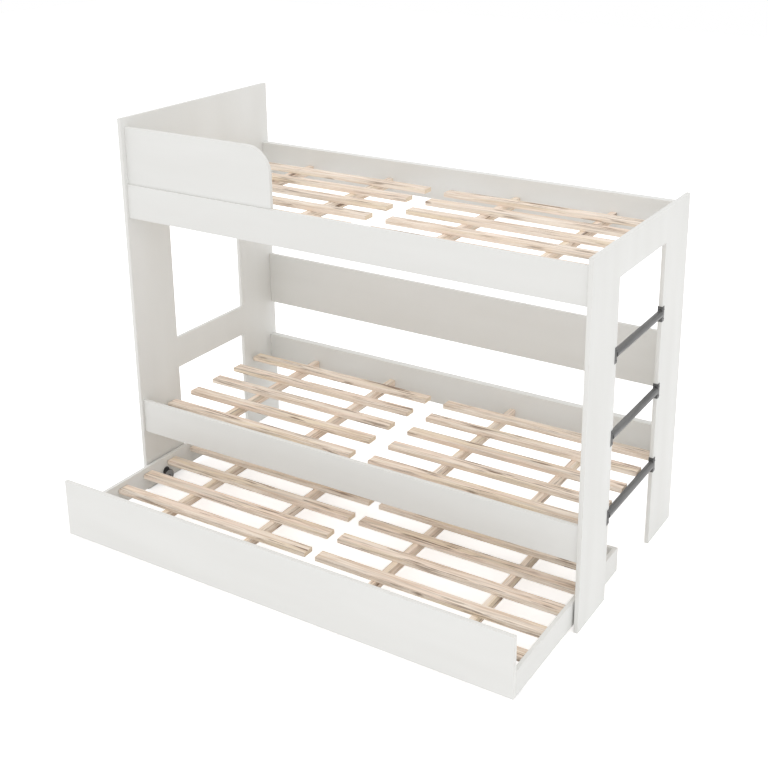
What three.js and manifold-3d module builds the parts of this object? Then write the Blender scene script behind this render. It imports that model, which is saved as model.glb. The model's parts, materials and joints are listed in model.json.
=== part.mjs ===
import * as THREE from 'three';
import { mergeVertices } from 'three/addons/utils/BufferGeometryUtils.js';
import Module from 'manifold-3d';

// Triple bunk bed: two fixed beds one above the other, with a third bed on wheels that
// rolls out from under them. All sizes are in millimetres, +Z is up and -Y is the front.

// Frame boards.
const frameLength = 1950;
const frameDepth = 888;
const boardThickness = 16;
const headRise = 35;
const footRise = 31.5;
const legWidth = 231;
const footBridge = 130;
const midRailBottom = 465;
const midRailHeight = 132;

// Long rails and guards.
const railInset = 10.5;
const upperRailTop = 1305;
const upperRailHeight = 133.5;
const lowerRailTop = 400;
const lowerRailHeight = 137;
const backRailThickness = 32;
const backGuardBottom = 556;
const backGuardHeight = 230.5;
const guardStepBack = 8;
const guardLength = 684;
const guardHeight = 223;
const guardCorner = 100;

// Ladder rungs and the clips that hold them.
const firstRungHeight = 334.5;
const topRungDrop = 269.5;
const rungDiameter = 27;
const rungWall = 2;
const clipHeight = 58;
const clipWall = 1.2;
const clipWeb = 2;
const clipFlange = 16;
const clipClearance = 0.3;
const spigotDepth = 16;
const spigotClearance = 0.3;

// Slats and the cross battens under them.
const slatWidth = 50;
const slatThickness = 18;
const slatFrontMargin = 109.5;
const slatBackMargin = 93.5;
const slatEndClearance = 11;
const trundleSlatClearance = 2.5;
const bedMiddleGap = 86;
const trundleMiddleGap = 46;
const battenWidth = 25;
const battenHeight = 35;
const battenSpread = 404;
const bedSlatRise = 78;

// Trundle: the low bed on wheels, drawn as far out as it stands at rest.
const trundlePullOut = 446.5;
const trundleFloorGap = 20;
const trundleTopClearance = 16;
const trundleHeadClearance = 3.5;
const trundleFootClearance = 6.5;
const trundleBackClearance = 42.5;
const trundleSlatDrop = 20;

// Wheels of the trundle and the axle plates that carry them.
const wheelDiameter = 60;
const wheelWidth = 12;
const treadDepth = 6;
const wheelRecess = 2;
const wheelEdge = 1.5;
const hubDiameter = 20;
const axleDiameter = 8;
const axleClearance = 0.08;
const axleHeadDiameter = 16;
const axleHeadThickness = 2.5;
const wheelSideClearance = 0.5;
const wheelHeadroom = 16.5;
const plateThickness = 2.5;
const plateWidth = 34;
const plateHeight = 46;
const plateMargin = 4;
const frontWheelSetback = 67;
const backWheelSetback = 525.5;

// Counts, shares and mesh settings.
const rungCount = 3;
const slatCount = 5;
const half = 0.5;
const roundSegments = 48;
const cornerSegments = 16;
const weldTolerance = 1e-4;
const quarterTurn = Math.PI * half;

// Finishes.
const paintedBoard = { color: 0xe2e1de, roughness: 0.55, metalness: 0 };
const paleWood = { color: 0xd8c3a8, roughness: 0.7, metalness: 0 };
const darkMetal = { color: 0x4c4c4e, roughness: 0.45, metalness: 0.6 };
const wheelPlastic = { color: 0x3c3d3e, roughness: 0.5, metalness: 0 };

// Places worked out from the sizes above. Head end is at x = 0 and front edges at y = 0.
const headHeight = upperRailTop + guardHeight + headRise;
const footHeight = upperRailTop + footRise;
const openingTop = footHeight - footBridge;
const rungPitch = (openingTop - topRungDrop - firstRungHeight) / (rungCount - 1);
const innerHead = boardThickness;
const innerFoot = frameLength - boardThickness;
const railFront = railInset;
const railBack = railInset + boardThickness;
const rearRailBack = frameDepth - railInset;
const rearRailFront = rearRailBack - backRailThickness;
const backGuardFront = rearRailBack - boardThickness;
const guardFront = railFront + guardStepBack;
const bedInnerDepth = rearRailFront - railBack;
const slatPitch = (bedInnerDepth - slatFrontMargin - slatBackMargin - slatWidth) / (slatCount - 1);
const slatSpread = slatPitch * (slatCount - 1) + slatWidth;
const upperRailBottom = upperRailTop - upperRailHeight;
const lowerRailBottom = lowerRailTop - lowerRailHeight;
const upperSlatTop = upperRailBottom + bedSlatRise;
const lowerSlatTop = lowerRailBottom + bedSlatRise;
const trundleFront = railInset - trundlePullOut;
const trundleBack = frameDepth - trundleBackClearance - trundlePullOut;
const trundleHead = innerHead + trundleHeadClearance;
const trundleFoot = innerFoot - trundleFootClearance;
const trundlePanelTop = lowerRailBottom - trundleTopClearance;
const trundleSlatTop = wheelDiameter + wheelHeadroom + slatThickness;
const trundleSideTop = trundleSlatTop + trundleSlatDrop;
const plateBottom = trundleFloorGap + plateMargin;
const rungProud = (rungDiameter - boardThickness) * half;
const clipProud = clipClearance + clipWall;
const originX = (frameLength + Math.max(rungProud, clipProud)) * half;
const originY = (frameDepth + trundleFront) * half;

const wasm = await Module();
wasm.setup();

const group = new THREE.Group();
group.name = 'triple_bunk_bed';

function solidOf(geometry) {
  const bare = geometry.clone();
  bare.deleteAttribute('normal');
  bare.deleteAttribute('uv');
  const welded = mergeVertices(bare, weldTolerance);
  return new wasm.Manifold(new wasm.Mesh({
    numProp: 3,
    vertProperties: new Float32Array(welded.attributes.position.array),
    triVerts: new Uint32Array(welded.index.array),
  }));
}

function join(geometries) {
  const solids = geometries.map(solidOf);
  const joined = solids.reduce((sum, next) => sum.add(next));
  const mesh = joined.getMesh();
  const geometry = new THREE.BufferGeometry();
  geometry.setAttribute('position', new THREE.BufferAttribute(mesh.vertProperties, 3));
  geometry.setIndex(new THREE.BufferAttribute(mesh.triVerts, 1));
  geometry.computeVertexNormals();
  return geometry;
}

function place(name, geometry, finish) {
  geometry.translate(-originX, -originY, 0);
  const mesh = new THREE.Mesh(geometry, new THREE.MeshStandardMaterial(finish));
  mesh.name = name;
  group.add(mesh);
}

// A block between two opposite corners.
function block(low, high) {
  const size = high.map((value, axis) => value - low[axis]);
  const middle = low.map((value, axis) => value + size[axis] * half);
  const geometry = new THREE.BoxGeometry(...size);
  geometry.translate(...middle);
  return geometry;
}

// A rod along x between two places, round about the line at y and z.
function rodAlongX(start, end, diameter, y, z) {
  const radius = diameter * half;
  const geometry = new THREE.CylinderGeometry(radius, radius, end - start, roundSegments);
  geometry.rotateZ(quarterTurn);
  geometry.translate((start + end) * half, y, z);
  return geometry;
}

function outlineOf(points) {
  return new THREE.Shape(points.map(([across, up]) => new THREE.Vector2(across, up)));
}

// An upright board at right angles to x: the outline is drawn in y and z.
function endBoard(outline, start, thickness = boardThickness) {
  const settings = { depth: thickness, bevelEnabled: false, curveSegments: cornerSegments };
  const geometry = new THREE.ExtrudeGeometry(outline, settings);
  geometry.rotateX(quarterTurn);
  geometry.rotateZ(quarterTurn);
  geometry.translate(start, 0, 0);
  return geometry;
}

// One board cut to two legs with a bridge across the top.
function legsOutline(height, openingHeight) {
  return outlineOf([
    [0, 0],
    [legWidth, 0],
    [legWidth, openingHeight],
    [frameDepth - legWidth, openingHeight],
    [frameDepth - legWidth, 0],
    [frameDepth, 0],
    [frameDepth, height],
    [0, height],
  ]);
}

function makeEndPanels() {
  const headOutline = legsOutline(headHeight, midRailBottom);
  const windowBottom = midRailBottom + midRailHeight;
  const window = outlineOf([
    [legWidth, windowBottom],
    [frameDepth - legWidth, windowBottom],
    [frameDepth - legWidth, openingTop],
    [legWidth, openingTop],
  ]);
  headOutline.holes.push(window);
  place('head_end_panel', endBoard(headOutline, 0), paintedBoard);
  const footOutline = legsOutline(footHeight, openingTop);
  place('foot_end_panel', endBoard(footOutline, innerFoot), paintedBoard);
}

function makeRails() {
  const levels = {
    upper: [upperRailBottom, upperRailTop],
    lower: [lowerRailBottom, lowerRailTop],
  };
  for (const [level, [bottom, top]] of Object.entries(levels)) {
    const front = block([innerHead, railFront, bottom], [innerFoot, railBack, top]);
    place(`${level}_front_rail`, front, paintedBoard);
    const back = block([innerHead, rearRailFront, bottom], [innerFoot, rearRailBack, top]);
    place(`${level}_back_rail`, back, paintedBoard);
  }
}

// The panel behind the lower bed, and the board that keeps the upper sleeper in.
function makeGuards() {
  const backLow = [innerHead, backGuardFront, backGuardBottom];
  const backHigh = [innerFoot, rearRailBack, backGuardBottom + backGuardHeight];
  place('back_guard_panel', block(backLow, backHigh), paintedBoard);

  const guardEnd = innerHead + guardLength;
  const guardTop = upperRailTop + guardHeight;
  const outline = new THREE.Shape();
  outline.moveTo(innerHead, upperRailTop);
  outline.lineTo(guardEnd, upperRailTop);
  outline.lineTo(guardEnd, guardTop - guardCorner);
  outline.absarc(guardEnd - guardCorner, guardTop - guardCorner, guardCorner, 0, quarterTurn, false);
  outline.lineTo(innerHead, guardTop);
  const settings = { depth: boardThickness, bevelEnabled: false, curveSegments: cornerSegments };
  const geometry = new THREE.ExtrudeGeometry(outline, settings);
  geometry.rotateX(quarterTurn);
  geometry.translate(0, guardFront + boardThickness, 0);
  place('front_guard_board', geometry, paintedBoard);
}

// A tube whose axis is y, open at both ends.
function makeRung(name, centre) {
  const start = legWidth + clipWeb;
  const end = frameDepth - legWidth - clipWeb;
  const outer = rungDiameter * half;
  const inner = outer - rungWall;
  const profile = [
    [inner, start],
    [outer, start],
    [outer, end],
    [inner, end],
    [inner, start],
  ];
  const points = profile.map(([radius, along]) => new THREE.Vector2(radius, along));
  const geometry = new THREE.LatheGeometry(points, roundSegments);
  geometry.translate(frameLength - boardThickness * half, 0, centre);
  place(name, geometry, darkMetal);
}

// A channel that wraps the inner edge of one leg, with a spigot that enters the rung.
// Outward is 1 on the front leg and -1 on the back leg.
function makeRungClip(name, centre, legEdge, outward) {
  const inside = innerFoot - clipClearance;
  const outside = frameLength + clipClearance;
  const flangeEnd = legEdge - clipFlange * outward;
  const webFace = legEdge + clipWeb * outward;
  const channelOutline = outlineOf([
    [inside - clipWall, flangeEnd],
    [inside, flangeEnd],
    [inside, legEdge],
    [outside, legEdge],
    [outside, flangeEnd],
    [outside + clipWall, flangeEnd],
    [outside + clipWall, webFace],
    [inside - clipWall, webFace],
  ]);
  const channel = new THREE.ExtrudeGeometry(channelOutline, { depth: clipHeight, bevelEnabled: false });
  channel.translate(0, 0, centre - clipHeight * half);

  const spigotRadius = rungDiameter * half - rungWall - spigotClearance;
  const spigotStart = legEdge + clipWeb * half * outward;
  const spigotEnd = webFace + spigotDepth * outward;
  const spigotLength = Math.abs(spigotEnd - spigotStart);
  const spigot = new THREE.CylinderGeometry(spigotRadius, spigotRadius, spigotLength, roundSegments);
  spigot.translate(frameLength - boardThickness * half, (spigotStart + spigotEnd) * half, centre);
  place(name, join([channel, spigot]), darkMetal);
}

function makeLadder() {
  for (let step = 0; step < rungCount; step += 1) {
    const centre = firstRungHeight + rungPitch * step;
    const number = step + 1;
    makeRung(`rung_${number}`, centre);
    makeRungClip(`rung_clip_front_${number}`, centre, legWidth, 1);
    makeRungClip(`rung_clip_back_${number}`, centre, frameDepth - legWidth, -1);
  }
}

// The pieces of one half of a slat base: lengthwise slats on two cross battens. The first
// slat is the front one, and its place is that of its front edge.
function slatHalf(start, end, front, back, firstSlat, top) {
  const slatBottom = top - slatThickness;
  const slats = [];
  for (let index = 0; index < slatCount; index += 1) {
    const y = firstSlat + index * slatPitch;
    const low = [start, y, slatBottom];
    const high = [end, y + slatWidth, top];
    slats.push(block(low, high));
  }
  const middleX = (start + end) * half;
  const battens = [-1, 1].map((side) => {
    const x = middleX + side * battenSpread * half;
    const low = [x - battenWidth * half, front, slatBottom - battenHeight];
    const high = [x + battenWidth * half, back, slatBottom];
    return block(low, high);
  });
  return { slats, battens };
}

// Where the two halves of a slat base start and end along the bed.
function slatSpans(start, end, middleGap) {
  const middle = (start + end) * half;
  return {
    head: [start, middle - middleGap * half],
    foot: [middle + middleGap * half, end],
  };
}

function makeBedBases() {
  const levels = { upper: upperSlatTop, lower: lowerSlatTop };
  const firstSlat = railBack + slatFrontMargin;
  const start = innerHead + slatEndClearance;
  const end = innerFoot - slatEndClearance;
  const spans = slatSpans(start, end, bedMiddleGap);
  for (const [level, top] of Object.entries(levels)) {
    for (const [side, [first, last]] of Object.entries(spans)) {
      const { slats, battens } = slatHalf(first, last, railBack, rearRailFront, firstSlat, top);
      slats.forEach((slat, index) => place(`${level}_${side}_slat_${index + 1}`, slat, paleWood));
      battens.forEach((batten, index) => place(`${level}_${side}_batten_${index + 1}`, batten, paleWood));
    }
  }
}

function makeTrundleBoards() {
  const panelBack = trundleFront + boardThickness;
  const frontHigh = [trundleFoot, panelBack, trundlePanelTop];
  place('trundle_front_panel', block([trundleHead, trundleFront, trundleFloorGap], frontHigh), paintedBoard);
  const headInner = trundleHead + boardThickness;
  const footInner = trundleFoot - boardThickness;
  const headHigh = [headInner, trundleBack, trundleSideTop];
  place('trundle_head_side', block([trundleHead, panelBack, trundleFloorGap], headHigh), paintedBoard);
  const footLow = [footInner, panelBack, trundleFloorGap];
  place('trundle_foot_side', block(footLow, [trundleFoot, trundleBack, trundleSideTop]), paintedBoard);
  const backLow = [headInner, trundleBack - boardThickness, trundleFloorGap];
  place('trundle_back_panel', block(backLow, [footInner, trundleBack, trundleSideTop]), paintedBoard);
}

// Each half of the trundle's base is nailed up as one unit.
function makeTrundleBases() {
  const front = trundleFront + boardThickness;
  const back = trundleBack - boardThickness;
  const start = trundleHead + boardThickness + trundleSlatClearance;
  const end = trundleFoot - boardThickness - trundleSlatClearance;
  const spans = slatSpans(start, end, trundleMiddleGap);
  const firstSlat = (front + back - slatSpread) * half;
  for (const [side, [first, last]] of Object.entries(spans)) {
    const { slats, battens } = slatHalf(first, last, front, back, firstSlat, trundleSlatTop);
    place(`trundle_${side}_slat_base`, join([...slats, ...battens]), paleWood);
  }
}

// The outline of an axle plate: straight sides and a half-round top.
function plateOutline(y) {
  const radius = plateWidth * half;
  const shoulder = plateBottom + plateHeight - radius;
  const outline = new THREE.Shape();
  outline.moveTo(y - radius, plateBottom);
  outline.lineTo(y + radius, plateBottom);
  outline.lineTo(y + radius, shoulder);
  outline.absarc(y, shoulder, radius, 0, Math.PI, false);
  return outline;
}

// A plate on the inner face of the trundle's side, with a headed pin for the wheel.
// Inward is 1 at the head end and -1 at the foot end.
function makeAxlePlate(name, sideFace, inward, y) {
  const plateFace = sideFace + plateThickness * inward;
  const wheelOuter = plateFace + (wheelSideClearance * 2 + wheelWidth) * inward;
  const pinEnd = wheelOuter + axleHeadThickness * inward;
  const plate = endBoard(plateOutline(y), Math.min(sideFace, plateFace), plateThickness);
  const axleHeight = wheelDiameter * half;
  const pinStart = sideFace + plateThickness * half * inward;
  const pin = rodAlongX(Math.min(pinStart, pinEnd), Math.max(pinStart, pinEnd), axleDiameter, y, axleHeight);
  const headStart = Math.min(wheelOuter, pinEnd);
  const headEnd = Math.max(wheelOuter, pinEnd);
  const head = rodAlongX(headStart, headEnd, axleHeadDiameter, y, axleHeight);
  place(name, join([plate, pin, head]), darkMetal);
}

// A wheel with a raised tread and hub and a thinner disc between them.
function makeWheel(name, sideFace, inward, y) {
  const outer = wheelDiameter * half;
  const treadInner = outer - treadDepth;
  const hubOuter = hubDiameter * half;
  const bore = axleDiameter * half + axleClearance;
  const face = wheelWidth * half;
  const disc = face - wheelRecess;
  const profile = [
    [bore, -face],
    [hubOuter, -face],
    [hubOuter, -disc],
    [treadInner, -disc],
    [treadInner, -face],
    [outer - wheelEdge, -face],
    [outer, wheelEdge - face],
    [outer, face - wheelEdge],
    [outer - wheelEdge, face],
    [treadInner, face],
    [treadInner, disc],
    [hubOuter, disc],
    [hubOuter, face],
    [bore, face],
    [bore, -face],
  ];
  const points = profile.map(([radius, along]) => new THREE.Vector2(radius, along));
  const geometry = new THREE.LatheGeometry(points, roundSegments);
  geometry.rotateZ(quarterTurn);
  const middle = sideFace + (plateThickness + wheelSideClearance + face) * inward;
  geometry.translate(middle, y, outer);
  place(name, geometry, wheelPlastic);
}

function makeWheels() {
  const ends = {
    head: [trundleHead + boardThickness, 1],
    foot: [trundleFoot - boardThickness, -1],
  };
  const rows = { front: frontWheelSetback, back: backWheelSetback };
  for (const [end, [sideFace, inward]] of Object.entries(ends)) {
    for (const [row, setback] of Object.entries(rows)) {
      const y = trundleFront + setback;
      makeAxlePlate(`axle_plate_${end}_${row}`, sideFace, inward, y);
      makeWheel(`wheel_${end}_${row}`, sideFace, inward, y);
    }
  }
}

makeEndPanels();
makeRails();
makeGuards();
makeLadder();
makeBedBases();
makeTrundleBoards();
makeTrundleBases();
makeWheels();

export default group;
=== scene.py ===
# %% [markdown]
# # A triple bunk bed in white board and pale wood
# The bed is flat white board, sawn pale slats and a little dark metal. Flat board is the
# hardest thing to make look real, because nothing hides its edges: a modelled box has corners
# as sharp as a razor, and a real board never has. So most of this lesson is about giving each
# plain shape the soft edge, the grain and the small unevenness that the eye expects.

import json
import random
from math import cos, pi, radians, sin

import bmesh
import bpy
from mathutils import Euler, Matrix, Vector


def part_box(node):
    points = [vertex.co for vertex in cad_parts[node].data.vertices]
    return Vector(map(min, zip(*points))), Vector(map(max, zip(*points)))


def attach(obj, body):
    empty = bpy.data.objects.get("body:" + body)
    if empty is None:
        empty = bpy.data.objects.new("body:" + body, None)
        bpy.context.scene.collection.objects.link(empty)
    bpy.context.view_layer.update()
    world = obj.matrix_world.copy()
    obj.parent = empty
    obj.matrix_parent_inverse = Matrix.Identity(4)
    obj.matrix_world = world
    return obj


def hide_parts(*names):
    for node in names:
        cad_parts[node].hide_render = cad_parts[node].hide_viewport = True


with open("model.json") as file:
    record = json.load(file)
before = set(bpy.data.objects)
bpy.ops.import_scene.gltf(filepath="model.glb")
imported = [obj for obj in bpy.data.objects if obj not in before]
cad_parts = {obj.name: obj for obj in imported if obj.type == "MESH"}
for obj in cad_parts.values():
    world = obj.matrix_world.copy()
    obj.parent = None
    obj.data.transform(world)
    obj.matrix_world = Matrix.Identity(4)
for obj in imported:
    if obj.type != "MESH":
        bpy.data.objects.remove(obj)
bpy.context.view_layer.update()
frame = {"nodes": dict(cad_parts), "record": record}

# %% [markdown]
# ## The camera
# The picture was taken with a moderately long lens from the front right, a little above the
# top bed. A camera has a place, three turns and a lens. The uprights of the bed lean together
# only slightly, and that is what a lens shift does: it slides the picture across the film
# without tilting the camera, so the frame is set with the shift and not with more tilt. The
# lens and the centre of view are in pixels here, the place in metres and the turns in degrees.

# %% Place the camera
PICTURE_SIZE = 768
FOCAL_PIXELS = 1220.06
VIEW_CENTRE = (430.17, 240.73)
CAMERA_PLACE = (2.3365, -3.5159, 2.5122)
CAMERA_TURNS = (72.4085, -0.0060, 30.5639)
FILM_WIDTH = 36.0
FARTHEST_SEEN = 60.0

lens = bpy.data.cameras.new("camera")
lens.sensor_width = FILM_WIDTH
lens.lens = FOCAL_PIXELS * FILM_WIDTH / PICTURE_SIZE
lens.shift_x = (PICTURE_SIZE / 2 - VIEW_CENTRE[0]) / PICTURE_SIZE
lens.shift_y = (VIEW_CENTRE[1] - PICTURE_SIZE / 2) / PICTURE_SIZE
lens.clip_end = FARTHEST_SEEN
camera = bpy.data.objects.new("camera", lens)
camera.location = CAMERA_PLACE
camera.rotation_euler = Euler([radians(turn) for turn in CAMERA_TURNS], "XYZ")
bpy.context.scene.collection.objects.link(camera)
bpy.context.scene.camera = camera
print("lens", round(lens.lens, 2), "mm, shift", round(lens.shift_x, 3), round(lens.shift_y, 3))

# %% [markdown]
# ## Light and floor
# White furniture is photographed in a white room, where light comes from everywhere. One very
# broad lamp, high in front and a little to the right, lifts the tops and the faces that look
# forward by a shade, so that the corners of the boards can be told apart. The room is plain
# white and the lamp nearly so, because a white board shows every tint of its light. The world
# is brighter to the camera than to the bed, so that the background is white while the boards
# stay at a level that keeps them from washing out.

# %% Light the room
ROOM_LIGHT = 0.92
WHITE = (1.0, 1.0, 1.0)
SEEN_WHITE = 1.0
WINDOW_LIGHT = 0.44
WINDOW_TINT = (1.0, 0.925, 0.935)
WINDOW_BREADTH = 70
WINDOW_FROM = (0.4, -0.8, 1.6)


def add_node(tree, kind, **settings):
    node = tree.nodes.new(kind)
    for key, value in settings.items():
        setattr(node, key, value)
    return node


def seen_directly(tree):
    """A value of 1 for what the camera sees, plainly, in gloss or through glass."""
    path = add_node(tree, "ShaderNodeLightPath")
    first = add_node(tree, "ShaderNodeMath", operation="MAXIMUM")
    both = add_node(tree, "ShaderNodeMath", operation="MAXIMUM")
    tree.links.new(path.outputs["Is Camera Ray"], first.inputs[0])
    tree.links.new(path.outputs["Is Glossy Ray"], first.inputs[1])
    tree.links.new(first.outputs[0], both.inputs[0])
    tree.links.new(path.outputs["Is Transmission Ray"], both.inputs[1])
    return both.outputs[0]


def room_background(tree, strength):
    background = add_node(tree, "ShaderNodeBackground")
    background.inputs["Color"].default_value = (*WHITE, 1)
    background.inputs["Strength"].default_value = strength
    return background.outputs[0]


world = bpy.data.worlds.new("white room")
bpy.context.scene.world = world
world.use_nodes = True
room = world.node_tree
room.nodes.clear()
room_mix = add_node(room, "ShaderNodeMixShader")
room_out = add_node(room, "ShaderNodeOutputWorld")
room.links.new(seen_directly(room), room_mix.inputs["Fac"])
room.links.new(room_background(room, ROOM_LIGHT), room_mix.inputs[1])
room.links.new(room_background(room, SEEN_WHITE), room_mix.inputs[2])
room.links.new(room_mix.outputs[0], room_out.inputs["Surface"])

window_light = bpy.data.lights.new("window", "SUN")
window_light.energy = WINDOW_LIGHT
window_light.color = WINDOW_TINT
window_light.angle = radians(WINDOW_BREADTH)
window = bpy.data.objects.new("window", window_light)
window.rotation_euler = Vector(WINDOW_FROM).to_track_quat("Z", "Y").to_euler()
bpy.context.scene.collection.objects.link(window)
print("room light", ROOM_LIGHT, "and window light", WINDOW_LIGHT)

# %% [markdown]
# ## The floor
# The floor is a wide pale sheet. It is lit like the bed and keeps the bed's shadow, which is
# what sets the feet on the ground. Where the camera sees it, plainly or in gloss, it glows a
# little as well, so that it runs into the white background with no horizon and the shadow on
# it is only a breath of grey. That glow lights nothing.

# %% Lay the floor
FLOOR_HALF = 14.0
FLOOR_PALE = (0.97, 0.97, 0.97)
FLOOR_GLOW = 0.50
FLOOR_ROUGHNESS = 0.9
FLOOR_SHINE = 0.1

floor_mesh = bpy.data.meshes.new("floor")
floor_mesh.from_pydata(
    [(-FLOOR_HALF, -FLOOR_HALF, 0), (FLOOR_HALF, -FLOOR_HALF, 0),
     (FLOOR_HALF, FLOOR_HALF, 0), (-FLOOR_HALF, FLOOR_HALF, 0)], [], [(0, 1, 2, 3)])
floor = bpy.data.objects.new("floor", floor_mesh)
bpy.context.scene.collection.objects.link(floor)
floor_finish = bpy.data.materials.new("pale floor")
floor_finish.use_nodes = True
floor_tree = floor_finish.node_tree
floor_shader = floor_tree.nodes["Principled BSDF"]
floor_shader.inputs["Base Color"].default_value = (*FLOOR_PALE, 1)
floor_shader.inputs["Roughness"].default_value = FLOOR_ROUGHNESS
floor_shader.inputs["Specular IOR Level"].default_value = FLOOR_SHINE
floor_glow = add_node(floor_tree, "ShaderNodeEmission")
floor_glow.inputs["Color"].default_value = (*WHITE, 1)
floor_amount = add_node(floor_tree, "ShaderNodeMath", operation="MULTIPLY")
floor_amount.inputs[1].default_value = FLOOR_GLOW
floor_tree.links.new(seen_directly(floor_tree), floor_amount.inputs[0])
floor_tree.links.new(floor_amount.outputs[0], floor_glow.inputs["Strength"])
floor_sum = add_node(floor_tree, "ShaderNodeAddShader")
floor_tree.links.new(floor_shader.outputs[0], floor_sum.inputs[0])
floor_tree.links.new(floor_glow.outputs[0], floor_sum.inputs[1])
floor_tree.links.new(floor_sum.outputs[0], floor_tree.nodes["Material Output"].inputs["Surface"])
floor.data.materials.append(floor_finish)
print("floor", 2 * FLOOR_HALF, "metres square")

# %% [markdown]
# ## Finishes: a small kit of nodes
# Every finish below is a colour that wanders a little, a roughness that wanders with it and a
# very shallow relief. They are all made from noise stretched along the piece. These helpers
# wire up the parts that repeat: stretched coordinates, a noise, and a blend of two colours.
# Noise hovers about a half, so remap picks the part of its range where a change shall happen.

# %% Helpers for finishes
def new_finish(name):
    finish = bpy.data.materials.new(name)
    finish.use_nodes = True
    return finish, finish.node_tree, finish.node_tree.nodes["Principled BSDF"]


def stretched(tree, scale):
    """The piece's own coordinates in metres, multiplied along each axis."""
    place = add_node(tree, "ShaderNodeTexCoord")
    stretch = add_node(tree, "ShaderNodeMapping")
    stretch.inputs["Scale"].default_value = scale
    tree.links.new(place.outputs["Object"], stretch.inputs["Vector"])
    return stretch.outputs["Vector"]


def noise(tree, where, scale=1.0, detail=2.0, roughness=0.5, distortion=0.0):
    cloud = add_node(tree, "ShaderNodeTexNoise")
    cloud.inputs["Scale"].default_value = scale
    cloud.inputs["Detail"].default_value = detail
    cloud.inputs["Roughness"].default_value = roughness
    cloud.inputs["Distortion"].default_value = distortion
    tree.links.new(where, cloud.inputs["Vector"])
    return cloud.outputs["Fac"]


def remap(tree, value, span, out_low, out_high):
    """Turns the part of a value inside span into a ramp from out_low to out_high."""
    ramp = add_node(tree, "ShaderNodeMapRange")
    ramp.inputs["From Min"].default_value = span[0]
    ramp.inputs["From Max"].default_value = span[1]
    ramp.inputs["To Min"].default_value = out_low
    ramp.inputs["To Max"].default_value = out_high
    tree.links.new(value, ramp.inputs["Value"])
    return ramp.outputs["Result"]


def blend_colours(tree, amount, first, second):
    mix = add_node(tree, "ShaderNodeMix", data_type="RGBA")
    for socket, colour in ((mix.inputs[6], first), (mix.inputs[7], second)):
        if isinstance(colour, tuple):
            socket.default_value = (*colour, 1)
        else:
            tree.links.new(colour, socket)
    tree.links.new(amount, mix.inputs[0])
    return mix.outputs[2]


def darkened(colour, share):
    return tuple(share * part for part in colour)


def times(tree, first, second):
    product = add_node(tree, "ShaderNodeMath", operation="MULTIPLY")
    tree.links.new(first, product.inputs[0])
    tree.links.new(second, product.inputs[1])
    return product.outputs[0]


def relief(tree, shader, height, depth, strength):
    bump = add_node(tree, "ShaderNodeBump")
    bump.inputs["Distance"].default_value = depth
    bump.inputs["Strength"].default_value = strength
    tree.links.new(height, bump.inputs["Height"])
    tree.links.new(bump.outputs["Normal"], shader.inputs["Normal"])


print("helpers: stretched, noise, remap, blend_colours, darkened, times, relief")

# %% [markdown]
# ## White foil and white edge band
# The boards are pressed wood with a white foil on both faces and a strip of white band on the
# narrow edges. The foil has a faint pressed pore that runs along the board and a satin sheen
# that is never quite even. Plain white would do from afar, but close up it looks like paper,
# so a slow noise drifts between two whites and a fine one marks the pores. The band is a trace
# creamier and smoother, and one helper makes both, once for each way that a board can run.

# %% Make the foil and band finishes
MM = 0.001
AXES = "xyz"
FOIL_WHITE = (0.803, 0.808, 0.787)
FOIL_SHADE = (0.781, 0.784, 0.760)
BAND_WHITE = (0.791, 0.795, 0.769)
BOARD_GRAIN = 6.0
DRIFT = {"scale": 1.6, "detail": 3.0}
DRIFT_SPAN = (0.3, 0.7)
PORES = {"scale": 22.0, "detail": 4.0}
PORE_FINENESS = 9.0
PORE_SPAN = (0.62, 0.8)
PORE_STRENGTH = 0.10
PORE_DARKNESS = 0.8
PORE_DEPTH = 0.12 * MM
PORE_RELIEF = 0.6
FOIL_ROUGHNESS = 0.50
BAND_ROUGHNESS = 0.42
SMOOTHER, ROUGHER = 0.05, 0.07
FOIL_SHINE = 0.4


def foil_finish(name, along, light, roughness):
    """White foil with its pores along one axis."""
    finish, tree, shader = new_finish(name)
    grain = tuple(1.0 if axis == along else BOARD_GRAIN for axis in AXES)
    fine_grain = tuple(PORE_FINENESS * part for part in grain)
    drift = noise(tree, stretched(tree, grain), **DRIFT)
    pores = noise(tree, stretched(tree, fine_grain), **PORES)
    colour = blend_colours(tree, remap(tree, drift, DRIFT_SPAN, 0.0, 1.0), light, FOIL_SHADE)
    flecks = remap(tree, pores, PORE_SPAN, 0.0, PORE_STRENGTH)
    colour = blend_colours(tree, flecks, colour, darkened(FOIL_SHADE, PORE_DARKNESS))
    tree.links.new(colour, shader.inputs["Base Color"])
    sheen = remap(tree, drift, DRIFT_SPAN, roughness - SMOOTHER, roughness + ROUGHER)
    tree.links.new(sheen, shader.inputs["Roughness"])
    shader.inputs["Specular IOR Level"].default_value = FOIL_SHINE
    relief(tree, shader, pores, PORE_DEPTH, PORE_RELIEF)
    return finish


foils = {axis: foil_finish(f"white foil along {axis}", axis, FOIL_WHITE, FOIL_ROUGHNESS)
         for axis in AXES}
bands = {axis: foil_finish(f"white edge band along {axis}", axis, BAND_WHITE, BAND_ROUGHNESS)
         for axis in AXES}
print("foil and band finishes:", len(foils) + len(bands))

# %% [markdown]
# ## The scraped corner
# Between the foil and the band is a narrow corner that is scraped round when the band is
# trimmed. It catches dirt and knocks before anything else does, so it is a little warmer, in
# patches. A worn look could be painted by hand, but a noise with its upper part picked out
# gives ragged patches that never repeat from board to board.

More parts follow.
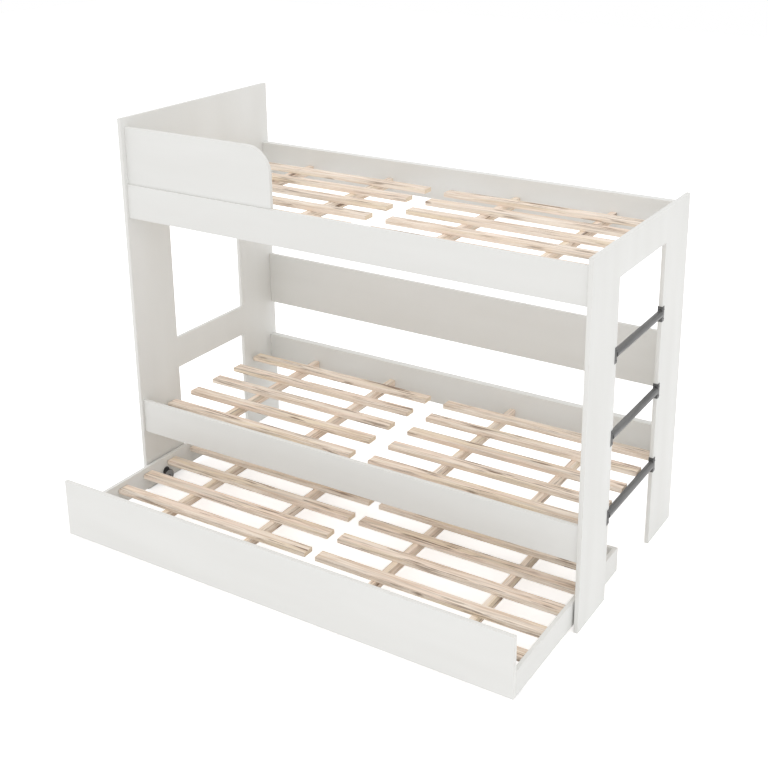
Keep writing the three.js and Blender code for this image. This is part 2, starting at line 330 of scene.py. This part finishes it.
# %% Make the corner finish
CORNER_WARM = (0.673, 0.657, 0.607)
RUB_GRAIN = (7.0, 7.0, 7.0)
RUB = {"scale": 3.0, "detail": 6.0, "roughness": 0.7}
RUB_SPAN = (0.52, 0.68)
RUB_STRENGTH = 0.8
RUB_SHEEN_SPAN = (0.4, 0.7)
CORNER_SMOOTH, CORNER_ROUGH = 0.42, 0.62
RUB_DEPTH = 0.2 * MM
RUB_RELIEF = 0.5

scraped_corner, tree, shader = new_finish("scraped band corner")
rub = noise(tree, stretched(tree, RUB_GRAIN), **RUB)
worn = remap(tree, rub, RUB_SPAN, 0.0, RUB_STRENGTH)
tree.links.new(blend_colours(tree, worn, BAND_WHITE, CORNER_WARM), shader.inputs["Base Color"])
corner_sheen = remap(tree, rub, RUB_SHEEN_SPAN, CORNER_SMOOTH, CORNER_ROUGH)
tree.links.new(corner_sheen, shader.inputs["Roughness"])
relief(tree, shader, rub, RUB_DEPTH, RUB_RELIEF)
print("corner finish:", scraped_corner.name)

# %% [markdown]
# ## From measured shape to finished piece
# A piece could be left as the plain measured block, but its corners would be lines of no
# width. So it becomes a copy of the measured shape with the flat triangles merged, and a Bevel
# that rounds only the sharp edges. The bevel is kept as a modifier: it can be read and changed
# later, and it can give its new faces a finish of their own. A finished piece is then seated:
# it takes the place of its measured node and moves with the same body.

# %% Helpers for copied shapes
body_of_node = {}
for body, nodes in frame["record"]["behaviour"]["bodies"].items():
    for node in nodes:
        body_of_node[node] = body
SHARP = radians(30)
WELD_GAP = 0.01 * MM
STILL_FLAT = radians(0.5)
SQUARE_ON = 0.9


def merged_copy(node, name):
    """The node's shape with its coplanar triangles merged into plain faces."""
    mesh = bpy.data.meshes.new(name)
    shape = bmesh.new()
    shape.from_mesh(frame["nodes"][node].data)
    bmesh.ops.remove_doubles(shape, verts=shape.verts, dist=WELD_GAP)
    bmesh.ops.dissolve_limit(
        shape, angle_limit=STILL_FLAT, verts=shape.verts, edges=shape.edges)
    bmesh.ops.recalc_face_normals(shape, faces=shape.faces)
    shape.to_mesh(mesh)
    shape.free()
    piece = bpy.data.objects.new(name, mesh)
    bpy.context.scene.collection.objects.link(piece)
    return piece


def round_corners(piece, width, steps, corner_slot=None):
    bevel = piece.modifiers.new("soft corners", "BEVEL")
    bevel.width = width
    bevel.segments = steps
    bevel.limit_method = "ANGLE"
    bevel.angle_limit = SHARP
    bevel.harden_normals = True
    if corner_slot is not None:
        bevel.material = corner_slot
    piece.data.shade_smooth()


def looks_along(face, axis):
    """True for a face that looks straight along an axis, one way or the other."""
    return abs(face.normal[axis]) > SQUARE_ON


def seat(piece, node):
    """Puts a finished piece in the place of its measured node, on the same body."""
    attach(piece, body_of_node[node])
    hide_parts(node)


print("corners rounded where faces meet at over", round(SHARP, 2), "radians")

# %% [markdown]
# ## Boards with scraped corners
# Twelve flat boards make the frame and the trundle's box. Real trimmed corners are about a
# millimetre across, and they are what draws a white board on a white background. The faces
# that look along a board's thin way get the foil, the narrow edges get the band, and the
# bevel's own faces get the scraped corner. The pores run along the length of each board.

# %% Build the boards
LEVELS = ("upper", "lower")
ENDS = ("head", "foot")
SIDES = ("front", "back")
CORNER_WIDTH = 1.5 * MM
CORNER_STEPS = 3
FOIL_SLOT, BAND_SLOT, CORNER_SLOT = 0, 1, 2
boards_along = {
    "x": [f"{level}_{side}_rail" for level in LEVELS for side in SIDES]
         + ["back_guard_panel", "front_guard_board", "trundle_front_panel", "trundle_back_panel"],
    "z": [f"{end}_end_panel" for end in ENDS],
    "y": [f"trundle_{end}_side" for end in ENDS],
}


def dress_board(node, along):
    board = merged_copy(node, f"{node}_banded")
    low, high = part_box(node)
    size = high - low
    thin = min(range(3), key=lambda axis: size[axis])
    for finish in (foils[along], bands[along], scraped_corner):
        board.data.materials.append(finish)
    for face in board.data.polygons:
        face.material_index = FOIL_SLOT if looks_along(face, thin) else BAND_SLOT
    round_corners(board, CORNER_WIDTH, CORNER_STEPS, CORNER_SLOT)
    seat(board, node)


for along, nodes in boards_along.items():
    for node in nodes:
        dress_board(node, along)
print("boards with scraped corners:", sum(len(nodes) for nodes in boards_along.values()))

# %% [markdown]
# ## Sawn pale wood: the bands of its grain
# The slats and battens are the cheap cut of a pale softwood: creamy, with pink and gold in it,
# long tan streaks and some grey. Grain is noise stretched many times longer than it is wide.
# One such noise looks like smoke, but a few of different widths laid over each other look like
# years of growth. They are listed here as bands, the pale ones that every face shows and the
# streaky ones that a narrow edge shows less.

# %% Name the bands of the grain
WOOD_PALE = (0.975, 0.88, 0.77)
WOOD_PINK = (0.95, 0.80, 0.68)
WOOD_GOLD = (0.90, 0.78, 0.595)
WOOD_TAN = (0.72, 0.575, 0.445)
WOOD_GREY = (0.70, 0.64, 0.56)
WOOD_BROWN = (0.26, 0.18, 0.13)
LONG_GRAIN = 0.045

# Each band has a tint, waves for each metre across the grain and the share of them along it,
# the span of the noise in which it sets in, its strength, and the noise's own settings.
PALE_BANDS = (
    {"tint": WOOD_PINK, "waves": 30.0, "ratio": LONG_GRAIN, "span": (0.42, 0.58),
     "strength": 1.0, "cloud": {"detail": 2.0, "distortion": 0.6}},
    {"tint": WOOD_GOLD, "waves": 34.0, "ratio": 0.06, "span": (0.53, 0.66),
     "strength": 0.8, "cloud": {"detail": 1.0}},
)
STREAKY_BANDS = (
    {"tint": WOOD_TAN, "waves": 90.0, "ratio": LONG_GRAIN, "span": (0.48, 0.62),
     "strength": 0.9, "cloud": {"detail": 2.5, "roughness": 0.6, "distortion": 0.9}},
    {"tint": WOOD_GREY, "waves": 60.0, "ratio": 0.05, "span": (0.54, 0.68),
     "strength": 0.7, "cloud": {"detail": 2.0, "distortion": 0.5}},
)
print("bands in the grain:", len(PALE_BANDS) + len(STREAKY_BANDS))

# %% [markdown]
# ## Knots and greyed rims
# A cheap cut has the odd knot, and the long rims of each face are made darker and greyer.
# Knots are round cells stretched a little along the grain, with a fine noise added to the
# distance from the middle of the cell so that their outline is ragged. A rim can't be found
# from the place in the room, so each strip carries a map of its own that says how far across
# the face a point lies, and the last part of the way to either edge counts as rim.

# %% Helpers for knots and greyed rims
KNOT_CELLS, KNOT_RATIO = 14.0, 0.22
KNOT_RAGGED_WAVES, KNOT_RAGGED_RATIO, KNOT_RAGGED_DETAIL = 160.0, 0.15, 3.0
KNOT_RAGGEDNESS = 0.12
KNOT_SPAN = (0.11, 0.17)
KNOT_STRENGTH = 0.8
STRIP_MAP = "strip"
FACE_MIDDLE = 0.5
RIM_SPAN = (0.36, 0.49)


def along_grain(tree, along, waves, ratio):
    """Coordinates that change slowly along the grain and quickly across it."""
    stretch = [waves] * 3
    stretch[AXES.index(along)] = waves * ratio
    return stretched(tree, tuple(stretch))


def knot_spots(tree, along):
    """A high value in small ragged ovals, far apart, and 0 between them."""
    cells = add_node(tree, "ShaderNodeTexVoronoi")
    cells.inputs["Scale"].default_value = 1.0
    tree.links.new(along_grain(tree, along, KNOT_CELLS, KNOT_RATIO), cells.inputs["Vector"])
    fine_grain = along_grain(tree, along, KNOT_RAGGED_WAVES, KNOT_RAGGED_RATIO)
    ragged = noise(tree, fine_grain, detail=KNOT_RAGGED_DETAIL)
    edge = add_node(tree, "ShaderNodeMath", operation="MULTIPLY_ADD")
    edge.inputs[1].default_value = KNOT_RAGGEDNESS
    tree.links.new(ragged, edge.inputs[0])
    tree.links.new(cells.outputs["Distance"], edge.inputs[2])
    return remap(tree, edge.outputs[0], KNOT_SPAN, KNOT_STRENGTH, 0.0)


def rim_of_face(tree):
    """A value that rises from 0 to 1 towards the long edges of a strip's face."""
    place = add_node(tree, "ShaderNodeUVMap", uv_map=STRIP_MAP)
    parts = add_node(tree, "ShaderNodeSeparateXYZ")
    tree.links.new(place.outputs["UV"], parts.inputs["Vector"])
    centred = add_node(tree, "ShaderNodeMath", operation="SUBTRACT")
    centred.inputs[1].default_value = FACE_MIDDLE
    tree.links.new(parts.outputs["Y"], centred.inputs[0])
    outward = add_node(tree, "ShaderNodeMath", operation="ABSOLUTE")
    tree.links.new(centred.outputs[0], outward.inputs[0])
    return remap(tree, outward.outputs[0], RIM_SPAN, 0.0, 1.0)


print("knots about every", round(1 / KNOT_CELLS, 2), "metres across the grain")

# %% [markdown]
# ## Sawn pale wood: the finish
# Over the bands come dark streaks, knots, rims and fibres. The streaks come and go along a
# strip, because a slow patchy noise switches them, and the rims are greyer in the same
# patches. Very fine fibres give the rough sawn feel, in the colour, the sheen and the relief
# alike. The narrow faces get a paler copy of the same finish, with fainter streaks: painted
# light that brightens them.

# %% Make the wood finishes
FACE_STREAKS = 1.0
# The narrow faces' share of dark streaks: below 1 it paints them paler, as painted light.
LIT_EDGE_STREAKS = 0.65
PATCH_WAVES, PATCH_RATIO = 18.0, 0.22
STREAK_WAVES, STREAK_DISTORTION = 120.0, 0.6
STREAK_SPAN = (0.56, 0.635)
STREAK_PATCHES = (0.44, 0.56)
STREAK_BETWEEN_PATCHES = 0.1
RIM_GREY_PATCHES = (0.40, 0.65)
RIM_GREY_LEAST, RIM_GREY_MOST = 0.05, 0.6
RIM_GREY_DARKNESS = 0.62
FIBRE_WAVES, FIBRE_RATIO = 800.0, 0.02
FIBRE_SPAN = (0.35, 0.65)
FIBRE_STRENGTH = 0.2
FIBRE_SHEEN_SPAN = (0.3, 0.7)
WOOD_SMOOTH, WOOD_ROUGH = 0.58, 0.78
WOOD_SHINE = 0.25
FIBRE_DEPTH = 0.3 * MM
FIBRE_RELIEF = 0.5


def wood_finish(name, along, streaks):
    """Sawn wood with its grain along one axis; streaks scales how dark the grain is."""
    finish, tree, shader = new_finish(name)

    def grain(waves, ratio, **cloud):
        return noise(tree, along_grain(tree, along, waves, ratio), **cloud)

    colour = WOOD_PALE
    for bands_of_kind, share in ((PALE_BANDS, 1.0), (STREAKY_BANDS, streaks)):
        for band in bands_of_kind:
            cloud = grain(band["waves"], band["ratio"], **band["cloud"])
            amount = remap(tree, cloud, band["span"], 0.0, band["strength"] * share)
            colour = blend_colours(tree, amount, colour, band["tint"])
    streak = grain(STREAK_WAVES, LONG_GRAIN, distortion=STREAK_DISTORTION)
    patch = grain(PATCH_WAVES, PATCH_RATIO)
    dark = times(tree, remap(tree, streak, STREAK_SPAN, 0.0, streaks),
                 remap(tree, patch, STREAK_PATCHES, STREAK_BETWEEN_PATCHES, 1.0))
    colour = blend_colours(tree, dark, colour, WOOD_BROWN)
    colour = blend_colours(tree, knot_spots(tree, along), colour, WOOD_BROWN)
    # The long rims of each face are darkened towards grey, in patches.
    greyed_rims = times(tree, rim_of_face(tree),
                    remap(tree, patch, RIM_GREY_PATCHES, RIM_GREY_LEAST, RIM_GREY_MOST))
    colour = blend_colours(tree, greyed_rims, colour, darkened(WOOD_GREY, RIM_GREY_DARKNESS))
    fibres = grain(FIBRE_WAVES, FIBRE_RATIO)
    fibre_amount = remap(tree, fibres, FIBRE_SPAN, 0.0, FIBRE_STRENGTH * streaks)
    colour = blend_colours(tree, fibre_amount, colour, WOOD_TAN)
    tree.links.new(colour, shader.inputs["Base Color"])
    sheen = remap(tree, fibres, FIBRE_SHEEN_SPAN, WOOD_SMOOTH, WOOD_ROUGH)
    tree.links.new(sheen, shader.inputs["Roughness"])
    shader.inputs["Specular IOR Level"].default_value = WOOD_SHINE
    relief(tree, shader, fibres, FIBRE_DEPTH, FIBRE_RELIEF)
    return finish


flat_wood = {axis: wood_finish(f"sawn pale wood along {axis}", axis, FACE_STREAKS)
             for axis in "xy"}
# A paler copy for the narrow faces: painted light that brightens them.
lit_edge_wood = {axis: wood_finish(f"sawn wood edge painted lighter along {axis}", axis, LIT_EDGE_STREAKS)
             for axis in "xy"}
print("wood finishes along the grain:", len(flat_wood) + len(lit_edge_wood))

# %% [markdown]
# ## End grain
# A strip cut across shows growth rings instead of streaks, and the cut is rough and takes no
# shine. A wave texture in rings, bent a little, is enough for a place that is a few
# centimetres wide.

# %% Make the end grain
RINGS = {"Scale": 90.0, "Distortion": 3.0, "Detail": 2.0}
RING_SPAN = (0.2, 0.9)
RING_LEAST, RING_MOST = 0.1, 0.9
END_ROUGHNESS = 0.85
RING_DEPTH = 0.2 * MM
RING_RELIEF = 0.4

end_grain, tree, shader = new_finish("sawn end grain")
rings = add_node(tree, "ShaderNodeTexWave", wave_type="RINGS")
for setting, value in RINGS.items():
    rings.inputs[setting].default_value = value
tree.links.new(stretched(tree, (1.0, 1.0, 1.0)), rings.inputs["Vector"])
ring_amount = remap(tree, rings.outputs["Fac"], RING_SPAN, RING_LEAST, RING_MOST)
ring_colour = blend_colours(tree, ring_amount, WOOD_GOLD, WOOD_TAN)
tree.links.new(ring_colour, shader.inputs["Base Color"])
shader.inputs["Roughness"].default_value = END_ROUGHNESS
relief(tree, shader, rings.outputs["Fac"], RING_DEPTH, RING_RELIEF)
print("end grain finish:", end_grain.name)

# %% [markdown]
# ## One sawn strip
# Sawn strips are never dead straight, so each one gets a bow of a fraction of a millimetre,
# its own every time, and corners that are barely eased. A stretched cube has no points between
# its ends, so a strip is built as a row of rings, with points along its length to bend. Its
# name seeds its own lottery, so that it comes out the same each time the lesson is run.

# %% Saw the strips
STRIP_STEPS = 14
BOW = 0.35 * MM
BOW_WAVES = (0.6, 1.4)
EASED = 1.1 * MM
EASED_STEPS = 2
FLAT_SLOT, EDGE_SLOT, END_SLOT = 0, 1, 2
RING_CORNERS = ((0, 0), (1, 0), (1, 1), (0, 1))


def strip_points(low, high, axis, across, bends):
    """Four corners at each step along the strip, pushed aside by the bends."""
    points = []
    for step in range(STRIP_STEPS + 1):
        share = step / STRIP_STEPS
        for corner in RING_CORNERS:
            point = [0.0, 0.0, 0.0]
            point[axis] = low[axis] + share * (high[axis] - low[axis])
            for side, index, (bend, waves) in zip(corner, across, bends):
                point[index] = (high if side else low)[index] + bend * sin(pi * waves * share)
            points.append(point)
    return points


def strip_faces():
    """The four long sides of the strip, step by step, and its two ends."""
    faces = []
    for first in range(0, 4 * STRIP_STEPS, 4):
        for side in range(4):
            following = (side + 1) % 4
            faces.append((first + side, first + following,
                          first + 4 + following, first + 4 + side))
    last = 4 * STRIP_STEPS
    return faces + [(3, 2, 1, 0), (last, last + 1, last + 2, last + 3)]


def sawn_strip(name, low, high, along):
    """A slightly bowed strip between two corners, with its grain along x or y."""
    lottery = random.Random(name)
    axis = AXES.index(along)
    across = ((axis + 1) % 3, (axis + 2) % 3)
    bends = [(lottery.uniform(-BOW, BOW), lottery.uniform(*BOW_WAVES)) for _ in across]
    mesh = bpy.data.meshes.new(name)
    mesh.from_pydata(strip_points(low, high, axis, across, bends), [], strip_faces())
    place = mesh.uv_layers.new(name=STRIP_MAP).data
    wide = max(across, key=lambda index: high[index] - low[index])
    # The narrow faces take the paler copy, which is painted light.
    for finish in (flat_wood[along], lit_edge_wood[along], end_grain):
        mesh.materials.append(finish)
    for face in mesh.polygons:
        if looks_along(face, axis):
            face.material_index = END_SLOT
            continue
        face.material_index = EDGE_SLOT if looks_along(face, wide) else FLAT_SLOT
        for loop, edge in zip(face.loop_indices, (0.0, 1.0, 1.0, 0.0)):
            place[loop].uv = (mesh.vertices[mesh.loops[loop].vertex_index].co[axis], edge)
    strip = bpy.data.objects.new(name, mesh)
    bpy.context.scene.collection.objects.link(strip)
    round_corners(strip, EASED, EASED_STEPS)
    return strip


print("one strip:", len(strip_faces()), "faces")

# %% [markdown]
# ## Slats and battens of the fixed beds
# Each half bed is five slats laid along the bed on two battens that stand on edge across it.
# Every one of them has a measured node, so its strip is sawn to the box of that node and takes
# its place.

# %% Lay the slats and battens of the fixed beds
SLATS_IN_HALF = 5
BATTENS_IN_HALF = 2

strip_count = 0
for level in LEVELS:
    for end in ENDS:
        for kind, number, along in (("slat", SLATS_IN_HALF, "x"), ("batten", BATTENS_IN_HALF, "y")):
            for index in range(1, number + 1):
                node = f"{level}_{end}_{kind}_{index}"
                seat(sawn_strip(f"{node}_sawn", *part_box(node), along), node)
                strip_count += 1
print("strips in the two fixed beds:", strip_count)

# %% [markdown]
# ## The trundle's slats
# In the measured model each half of the trundle's base is one nailed-up unit. Here it is
# taken apart again into its five slats and two battens, set out from the unit's own box.

# %% Set out the trundle's strips
SLAT_WIDTH = 50 * MM
SLAT_THICKNESS = 18 * MM
SLAT_PITCH = 141.5 * MM
BATTEN_WIDTH = 25 * MM
BATTEN_SPREAD = 404 * MM

strip_count = 0
for end in ENDS:
    unit = f"trundle_{end}_slat_base"
    low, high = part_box(unit)
    middle = (low + high) / 2
    slat_bottom = high.z - SLAT_THICKNESS
    strips = []
    for index in range(SLATS_IN_HALF):
        y = middle.y + (index - (SLATS_IN_HALF - 1) / 2) * SLAT_PITCH
        slat_low = Vector((low.x, y - SLAT_WIDTH / 2, slat_bottom))
        slat_high = Vector((high.x, y + SLAT_WIDTH / 2, high.z))
        strips.append((f"trundle_{end}_slat_{index + 1}", slat_low, slat_high, "x"))
    for index in range(BATTENS_IN_HALF):
        x = middle.x + (index - (BATTENS_IN_HALF - 1) / 2) * BATTEN_SPREAD
        batten_low = Vector((x - BATTEN_WIDTH / 2, low.y, low.z))
        batten_high = Vector((x + BATTEN_WIDTH / 2, high.y, slat_bottom))
        strips.append((f"trundle_{end}_batten_{index + 1}", batten_low, batten_high, "y"))
    for strip in strips:
        seat(sawn_strip(*strip), unit)
    strip_count += len(strips)
print("strips in the trundle:", strip_count)

# %% [markdown]
# ## Dark metal
# Rungs and clips are steel with a dark grey powder coat. Powder melts into a skin with a very
# fine orange peel, so it is satin and never mirror smooth, and it wears to a lighter grey where
# hands and feet rub. The peel is a fine noise in the relief, and the wear is a broad one in the
# colour and the roughness. The screws, wheels and axle plates need the same two noises, so one
# helper serves them all, each with colours of its own.

# %% A helper for coats
EVEN_RUBBING = (14.0, 14.0, 14.0)
COAT_CLOUD = {"detail": 5.0, "roughness": 0.6}
COAT_WORN_SPAN = (0.4, 0.68)
PEEL_GRAIN = (900.0, 900.0, 900.0)
PEEL_SPAN = (0.35, 0.65)
PEEL_STRENGTH = 0.35
COAT_SHEEN_SPAN = (0.3, 0.7)
COAT_ROUGHER, COAT_SMOOTHER = 0.06, 0.08
COAT_SHINE = 0.5
PEEL_DEPTH = 0.1 * MM
PEEL_RELIEF = 0.5


def coat_finish(name, dark, light, rough, rubbing=EVEN_RUBBING):
    """A coat that goes from its dark colour to its light one where it is rubbed."""
    finish, tree, shader = new_finish(name)
    rub = noise(tree, stretched(tree, rubbing), **COAT_CLOUD)
    peel = noise(tree, stretched(tree, PEEL_GRAIN))
    colour = blend_colours(tree, remap(tree, rub, COAT_WORN_SPAN, 0.0, 1.0), dark, light)
    speckle = remap(tree, peel, PEEL_SPAN, 0.0, PEEL_STRENGTH)
    tree.links.new(blend_colours(tree, speckle, colour, light), shader.inputs["Base Color"])
    sheen = remap(tree, rub, COAT_SHEEN_SPAN, rough + COAT_ROUGHER, rough - COAT_SMOOTHER)
    tree.links.new(sheen, shader.inputs["Roughness"])
    shader.inputs["Specular IOR Level"].default_value = COAT_SHINE
    relief(tree, shader, peel, PEEL_DEPTH, PEEL_RELIEF)
    return finish


print("peel of the coat", round(PEEL_DEPTH / MM, 2), "mm deep")

# %% [markdown]
# ## Rungs and their clips
# The rungs are plain tubes, and the measured tubes are already round, so they stay and take
# the coat. Drawn tube keeps faint lines along its length that the powder does not quite hide,
# so their coat is streaked along the rung. The clips are folded channel of thin sheet: they
# are copied and get the small corners of folded sheet, and a coat that is a shade darker,
# because fewer feet rub it.

# %% Fit the ladder
RUNGS = (1, 2, 3)
RUNG_GREY = (0.085, 0.086, 0.086)
RUNG_RUBBED = (0.165, 0.166, 0.164)
RUNG_ROUGHNESS = 0.42
RUNG_STREAKS = (60.0, 4.0, 60.0)
CLIP_GREY = (0.072, 0.073, 0.073)
CLIP_RUBBED = (0.115, 0.116, 0.116)
CLIP_ROUGHNESS = 0.45
CLIP_CORNER = 0.5 * MM
SMALL_CORNER_STEPS = 2

rung_coat = coat_finish(
    "streaked coat on the rungs", RUNG_GREY, RUNG_RUBBED, RUNG_ROUGHNESS, RUNG_STREAKS)
clip_coat = coat_finish("coat on the clips", CLIP_GREY, CLIP_RUBBED, CLIP_ROUGHNESS)
for number in RUNGS:
    rung = frame["nodes"][f"rung_{number}"]
    rung.data.materials.clear()
    rung.data.materials.append(rung_coat)
    for side in SIDES:
        node = f"rung_clip_{side}_{number}"
        clip = merged_copy(node, f"{node}_folded")
        clip.data.materials.append(clip_coat)
        round_corners(clip, CLIP_CORNER, SMALL_CORNER_STEPS)
        seat(clip, node)
print("rungs", len(RUNGS), "and clips", len(RUNGS) * len(SIDES))

# %% [markdown]
# ## A screw head
# A head is a stack of rings turned round its own axis: up the rim, over the low crown and down
# into the socket for the key. That is a lathe in ten lines, and one helper serves every screw.

# %% A helper that turns a screw head
# Each ring of a head: its radius and its height above the sheet, in millimetres.
SCREW_RINGS = ((2.5, 0.0), (2.5, 0.5), (2.2, 1.0), (1.6, 1.3), (1.2, 1.3), (1.1, 0.5))
SCREW_SIDES = 12


def turn_screw(shape, centre, facing):
    """Adds one screw head that stands on centre and faces along facing."""
    turn = Vector(facing).to_track_quat("Z", "Y")
    angles = [2 * pi * side / SCREW_SIDES for side in range(SCREW_SIDES)]
    rings = []
    for radius, height in SCREW_RINGS:
        points = [Vector((radius * cos(angle), radius * sin(angle), height)) * MM
                  for angle in angles]
        rings.append([shape.verts.new(centre + turn @ point) for point in points])
    for lower, upper in zip(rings, rings[1:]):
        for side in range(SCREW_SIDES):
            following = (side + 1) % SCREW_SIDES
            shape.faces.new((lower[side], lower[following], upper[following], upper[side]))
    shape.faces.new(rings[0][::-1])
    shape.faces.new(rings[-1])


print("rings in a screw head:", len(SCREW_RINGS))

# %% [markdown]
# ## Screws in the clips
# Four small blackened screws hold each clip: two through the sheet that lies on the outer face
# of the leg, and two through the web, above and below the rung. They have no node of their own
# in the measured frame, so the four of one clip are one new piece that moves with it.

# %% Drive the screws
SCREW_RISE = 18 * MM
FLANGE_MIDDLE = 8 * MM
BLACK_STEEL = (0.018, 0.018, 0.019)
BLACK_STEEL_RUBBED = (0.045, 0.045, 0.046)
SCREW_ROUGHNESS = 0.4

screw_finish = coat_finish(
    "blackened screw", BLACK_STEEL, BLACK_STEEL_RUBBED, SCREW_ROUGHNESS)
screw_count = 0
for number in RUNGS:
    rung_low, rung_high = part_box(f"rung_{number}")
    for side in SIDES:
        clip_node = f"rung_clip_{side}_{number}"
        low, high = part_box(clip_node)
        in_front = side == "front"
        web_y = rung_low.y if in_front else rung_high.y
        inward = 1 if in_front else -1
        flange_y = low.y + FLANGE_MIDDLE if in_front else high.y - FLANGE_MIDDLE
        name = f"{clip_node}_screws"
        shape = bmesh.new()
        for rise in (-SCREW_RISE, SCREW_RISE):
            z = (low.z + high.z) / 2 + rise
            turn_screw(shape, Vector((high.x, flange_y, z)), (1, 0, 0))
            turn_screw(shape, Vector(((low.x + high.x) / 2, web_y, z)), (0, inward, 0))
            screw_count += 2
        mesh = bpy.data.meshes.new(name)
        shape.to_mesh(mesh)
        shape.free()
        mesh.materials.append(screw_finish)
        screws = bpy.data.objects.new(name, mesh)
        bpy.context.scene.collection.objects.link(screws)
        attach(screws, body_of_node[clip_node])
print("screws in the clips:", screw_count)

# %% [markdown]
# ## Wheels and axle plates
# The trundle runs on four small moulded wheels: a dark tyre round a grey disc. Both parts
# are in one measured shape, so a copy of it is split by distance from the axle, the tyre
# outside and the disc inside. The plates are pressed steel, blackened and not coated.

# %% Fit the wheels
TYRE_DARK = (0.012, 0.012, 0.013)
TYRE_WORN = (0.040, 0.039, 0.038)
TYRE_ROUGHNESS = 0.62
DISC_GREY = (0.19, 0.192, 0.192)
DISC_LIGHT = (0.26, 0.262, 0.26)
DISC_ROUGHNESS = 0.45
PLATE_ROUGHNESS = 0.45
TREAD_DEPTH = 6 * MM
WHEEL_CORNER = 0.4 * MM
PLATE_CORNER = 0.4 * MM
DISC_SLOT, TYRE_SLOT = 0, 1

tyre_finish = coat_finish("dark tyre", TYRE_DARK, TYRE_WORN, TYRE_ROUGHNESS)
disc_finish = coat_finish("grey wheel disc", DISC_GREY, DISC_LIGHT, DISC_ROUGHNESS)
plate_finish = coat_finish(
    "black axle plate", BLACK_STEEL, BLACK_STEEL_RUBBED, PLATE_ROUGHNESS)


def dress_wheel(node):
    low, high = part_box(node)
    axle = (low + high) / 2
    disc_radius = (high.z - low.z) / 2 - TREAD_DEPTH
    wheel = merged_copy(node, f"{node}_moulded")
    wheel.data.materials.append(disc_finish)
    wheel.data.materials.append(tyre_finish)
    for face in wheel.data.polygons:
        from_axle = face.center - axle
        on_disc = Vector((from_axle.y, from_axle.z)).length <= disc_radius
        face.material_index = DISC_SLOT if on_disc else TYRE_SLOT
    round_corners(wheel, WHEEL_CORNER, SMALL_CORNER_STEPS)
    seat(wheel, node)


def dress_plate(node):
    plate = merged_copy(node, f"{node}_pressed")
    plate.data.materials.append(plate_finish)
    round_corners(plate, PLATE_CORNER, SMALL_CORNER_STEPS)
    seat(plate, node)


corners = [f"{end}_{side}" for end in ENDS for side in SIDES]
for corner in corners:
    dress_wheel(f"wheel_{corner}")
    dress_plate(f"axle_plate_{corner}")
print("wheels and axle plates:", len(corners), "of each")

# %% [markdown]
# ## Picture settings
# The colours are written as they should look, so the view is plain, with no film curve.

# %% Finish
bpy.context.scene.view_settings.view_transform = "Standard"
